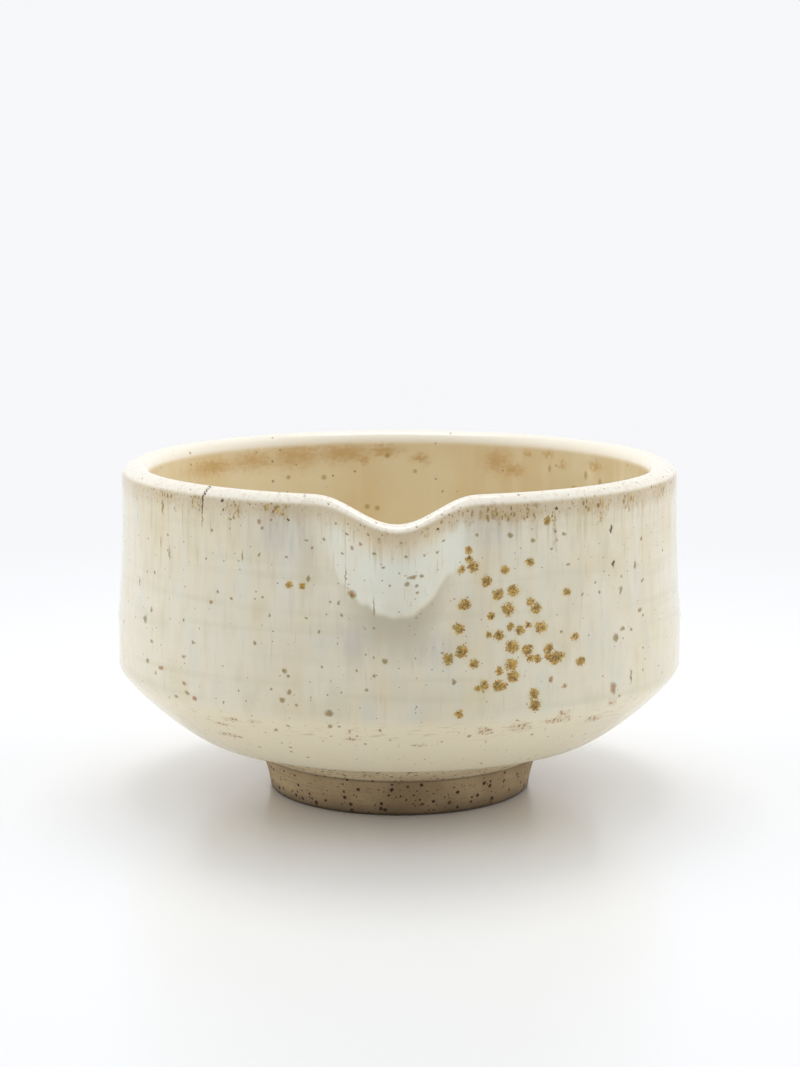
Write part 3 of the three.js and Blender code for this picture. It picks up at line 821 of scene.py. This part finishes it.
def poured_glaze(name):
    """The liner's finish."""
    material, tree, place = new_finish(name)
    thrown = placed(tree, "Attribute", attribute_name="thrown_height").outputs["Fac"]
    height = times(tree, thrown, MILLIMETRES)
    axes = placed(tree, "SeparateXYZ", {0: place}).outputs
    behind = eased(tree, axes[1], 0.0, 6.0)
    round_ = thrown_place(tree, place, height)
    broad = streak(tree, round_, 6.0, 50.0)
    narrow = streak(tree, round_, 1.4, 18.0, 3.0)
    cloud = noise(tree, place, 0.05)["Fac"]
    colour = mixed(tree, eased(tree, cloud, 0.35, 0.7), LINER, LINER_DEEP)
    # Painted shade: the liner darkens towards the right of the hollow, for the shade the lip casts
    # on that side.
    painted_shade_side = eased(tree, axes[0], 14.0, 52.0, 0.0, 0.5)
    colour = mixed(tree, painted_shade_side, colour, LINER_PAINTED_SHADE)
    up_wall = eased(tree, height, 18.0, 34.0)
    pale = times(tree, eased(tree, broad, 0.48, 0.74, 0.0, 0.4), up_wall)
    colour = mixed(tree, pale, colour, LINER_PALE)
    deep = times(tree, eased(tree, narrow, 0.52, 0.76, 0.0, 0.15), up_wall)
    colour = mixed(tree, deep, colour, LINER_DEEP)
    drawn = eased(tree, reckon(tree, "MULTIPLY_ADD", narrow, 5.0, height), 68.0, 73.0)
    colour = mixed(tree, times(tree, drawn, 0.12), colour, LINER_OCHRE)

    # The ochre patches have ragged outlines, and level marks break them up.
    bent = noise(tree, place, 0.8, 4.0)["Color"]
    flat_place = placed(tree, "CombineXYZ", {0: axes[0], 2: height}).outputs[0]
    shaken = vector(tree, "MULTIPLY_ADD", bent, (3.4, 0, 3.4), flat_place)
    shaken = vector(tree, "SUBTRACT", shaken, (1.7, 0, 1.7))
    near, _ = spots(tree, shaken, PATCHES)
    level_marks = streak(tree, round_, 2.2, 0.7, 3.0)
    patchy = reckon(tree, "MULTIPLY_ADD", level_marks, 1.3, near)
    wash = times(tree, eased(tree, near, 2.4, 0.8, 0.0, 0.18), behind)
    colour = mixed(tree, wash, colour, LINER_OCHRE)
    patch = times(tree, eased(tree, patchy, 2.2, 0.6, 0.0, 0.64), behind)
    colour = mixed(tree, patch, colour, LINER_OCHRE)
    dots_near, _ = spots(tree, flat_place, LINER_DOTS)
    dots = times(tree, eased(tree, dots_near, 1.5, 0.5, 0.0, 0.6), behind)
    colour = mixed(tree, dots, colour, LINER_OLIVE)
    # The crest is pale: its own pale glaze and a painted highlight along the top of the lip.
    crest = eased(tree, height, 70.0, 71.5, 0.0, 0.92)
    colour = mixed(tree, crest, colour, LIP_CREAM_AND_HIGHLIGHT)
    dust = specks(tree, place, spacing=1.8, size=0.34, share=0.14)
    colour = mixed(tree, times(tree, dust["Speck"], 0.6), colour, LINER_IRON)
    ripple = noise(tree, place, 0.2)["Fac"]
    bumps = reckon(tree, "MULTIPLY_ADD", ripple, 0.1, times(tree, narrow, 0.03))
    surfaced(tree, colour, eased(tree, narrow, 0.3, 0.7, 0.12, 0.22), bumps)
    return material


liner_crest = [lip_point(15 * LIP_STEP, tuck=CREST_TUCK), lip_point(16 * LIP_STEP)]
liner_face = liner_crest + inner_face()
liner_bed = whole_bed[len(glaze_face) - 1 :]
hidden_bed = liner_bed[:1] + liner_bed[1:-1:4] + liner_bed[-1:]
liner = turned("liner_glaze_coat", hidden_bed[::-1] + liner_face, closed=False)
liner.data.materials.append(poured_glaze("warm_liner_glaze"))
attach(liner, "root")
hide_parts("inside_glaze")

# The studio: a satin table that fades to plain white away from the bowl, a soft light high up
# behind it, and a room that is bright at both sides and darker behind the camera.
WHITE = (0.93, 0.935, 0.955, 1.0)
TABLE_WHITE = (0.93, 0.93, 0.94, 1.0)
ROOM_WHITE = (0.95, 0.975, 1.0, 1.0)
TABLE_RADIUS = 6.0
PLAIN_FROM = 0.09  # metres from the middle of the bowl
PLAIN_BY = 0.4
SOFTBOX_PLACE = (0, 0.3, 1.05)
SOFTBOX_TILT = math.radians(-16)
SOFTBOX_SIDE = 0.5
SOFTBOX_POWER = 3.4


def shown_plain(tree):
    """1 where the camera looks, straight or by a reflection, and 0 where only light comes by."""
    seen = placed(tree, "LightPath").outputs
    mirrored = reckon(tree, "MAXIMUM", seen["Is Glossy Ray"], seen["Is Transmission Ray"])
    return reckon(tree, "MAXIMUM", seen["Is Camera Ray"], mirrored)


floor_shape = bmesh.new()
bmesh.ops.create_circle(floor_shape, cap_ends=True, radius=TABLE_RADIUS, segments=96)
floor_mesh = bpy.data.meshes.new("table")
floor_shape.to_mesh(floor_mesh)
floor_shape.free()
floor = bpy.data.objects.new("table", floor_mesh)
bpy.context.scene.collection.objects.link(floor)
table_finish = bpy.data.materials.new("white_table")
tree = emptied(table_finish)
away = length(tree, placed(tree, "TexCoord").outputs["Object"])
fading = times(tree, eased(tree, away, PLAIN_FROM, PLAIN_BY), shown_plain(tree))
satin = placed(
    tree, "BsdfPrincipled", {"Base Color": TABLE_WHITE, "Roughness": 0.24, "IOR": 1.95}
).outputs[0]
plain = placed(tree, "Emission", {"Color": WHITE, "Strength": 1.0}).outputs[0]
blended = placed(tree, "MixShader", {0: fading, 1: satin, 2: plain}).outputs[0]
tree.links.new(blended, placed(tree, "OutputMaterial").inputs[0])
floor_mesh.materials.append(table_finish)

world = bpy.data.worlds.new("studio")
bpy.context.scene.world = world
tree = emptied(world)
direction = placed(tree, "TexCoord").outputs["Generated"]
axes = placed(tree, "SeparateXYZ", {0: direction}).outputs
forward = reckon(tree, "MULTIPLY_ADD", axes[2], 0.34, axes[1])
around = eased(tree, forward, -0.82, -0.1, 0.06, 1.33)
around = times(tree, around, eased(tree, axes[1], 0.15, 0.85, 1.0, 0.5))
lowness = reckon(tree, "SUBTRACT", 1.0, reckon(tree, "ABSOLUTE", axes[2]))
aloft = reckon(tree, "MULTIPLY_ADD", reckon(tree, "POWER", lowness, 4.0), 2.45, 0.73)
fill = times(tree, around, aloft)
room = placed(tree, "Background", {"Color": ROOM_WHITE, "Strength": fill}).outputs[0]
backdrop = placed(tree, "Background", {"Color": WHITE, "Strength": 1.0}).outputs[0]
shown = placed(tree, "MixShader", {0: shown_plain(tree), 1: room, 2: backdrop}).outputs[0]
tree.links.new(shown, placed(tree, "OutputWorld").inputs[0])

lamp = bpy.data.lights.new("overhead_softbox", "AREA")
lamp.shape = "SQUARE"
lamp.size = SOFTBOX_SIDE
lamp.energy = SOFTBOX_POWER
softbox = bpy.data.objects.new("overhead_softbox", lamp)
softbox.location = SOFTBOX_PLACE
softbox.rotation_euler = (SOFTBOX_TILT, 0, 0)
softbox.visible_camera = False
bpy.context.scene.collection.objects.link(softbox)
